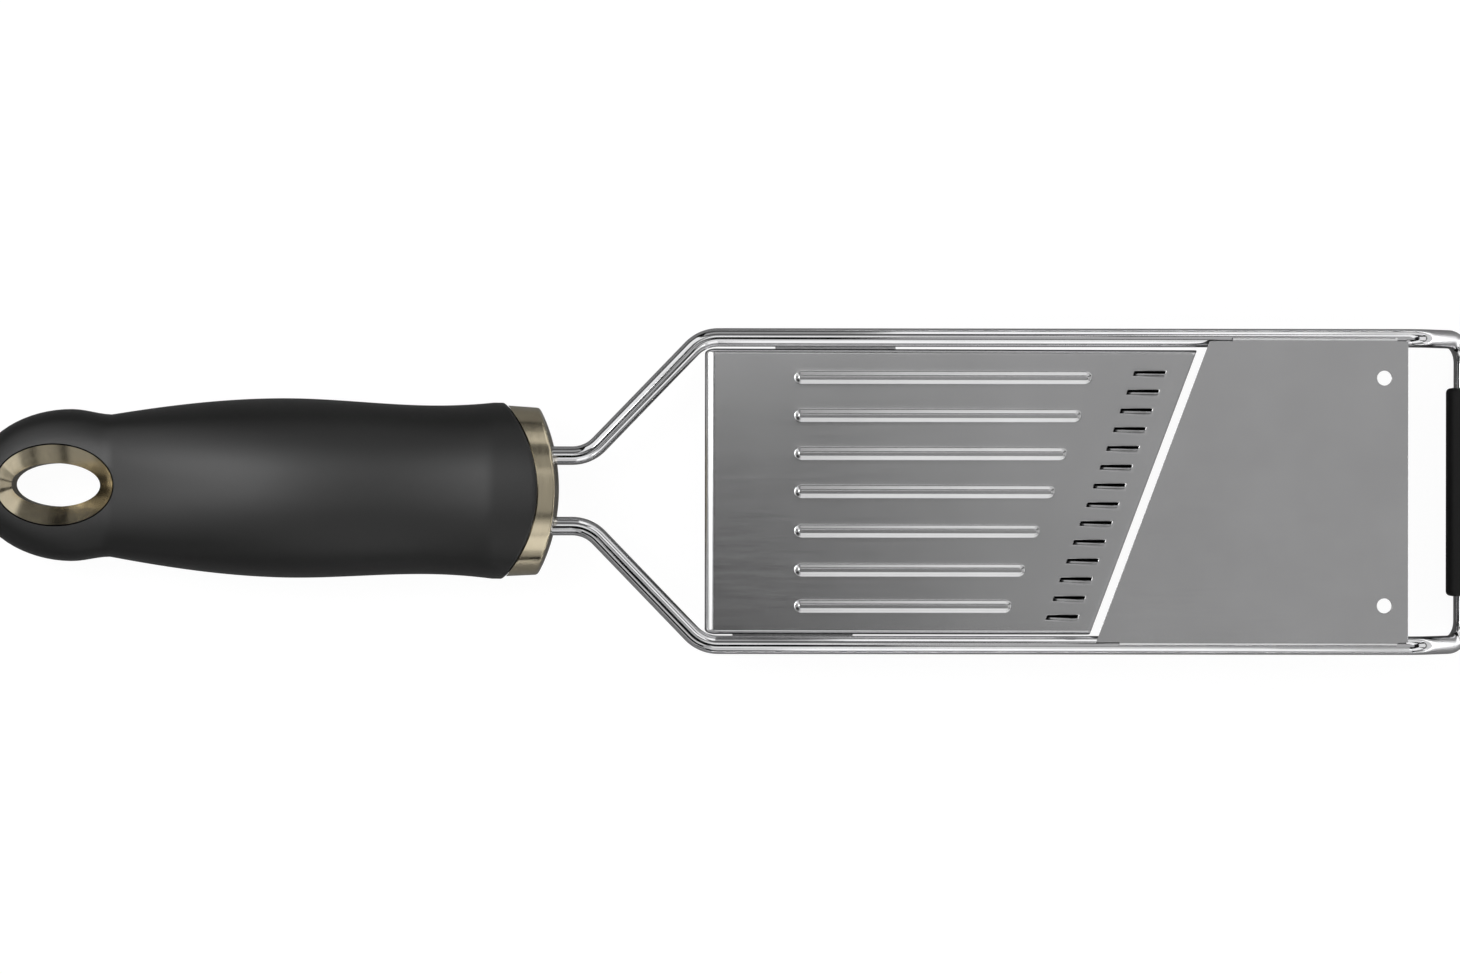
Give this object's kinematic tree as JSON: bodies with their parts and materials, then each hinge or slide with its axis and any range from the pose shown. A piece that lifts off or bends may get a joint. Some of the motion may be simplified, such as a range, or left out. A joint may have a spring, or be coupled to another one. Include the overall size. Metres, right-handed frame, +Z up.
{
  "type": "julienne mandoline",
  "caption": "Hand-held julienne slicer: bent wire frame with a ribbed infeed plate, a comb of upright teeth, a slanted blade plate, a rubber tip foot and a soft handle with a hanging eye.",
  "frame": {"origin": "centre of the footprint, on the surface that the tool lies on", "axes": "+X from the handle to the tip, +Y to the left of a user who looks along +X, +Z up, out of the cutting side"},
  "size_m": [0.3264, 0.0702, 0.029],
  "materials": {
    "polished_rod": "polished stainless steel rod",
    "satin_sheet": "satin stainless steel sheet",
    "soft_grip": "matt soft-touch black",
    "foot_rubber": "matt black rubber",
    "champagne_trim": "metallised champagne trim",
    "core_plastic": "moulded, hidden"
  },
  "bodies": {
    "root": {"wire_frame": "polished_rod", "rubber_foot": "foot_rubber", "infeed_plate": "satin_sheet", "julienne_comb": "satin_sheet", "blade_plate": "satin_sheet", "grip": "soft_grip", "handle_core_upper": "core_plastic", "handle_core_lower": "core_plastic", "front_bolster": "champagne_trim", "hang_eyelet": "champagne_trim"}
  },
  "joints": []
}
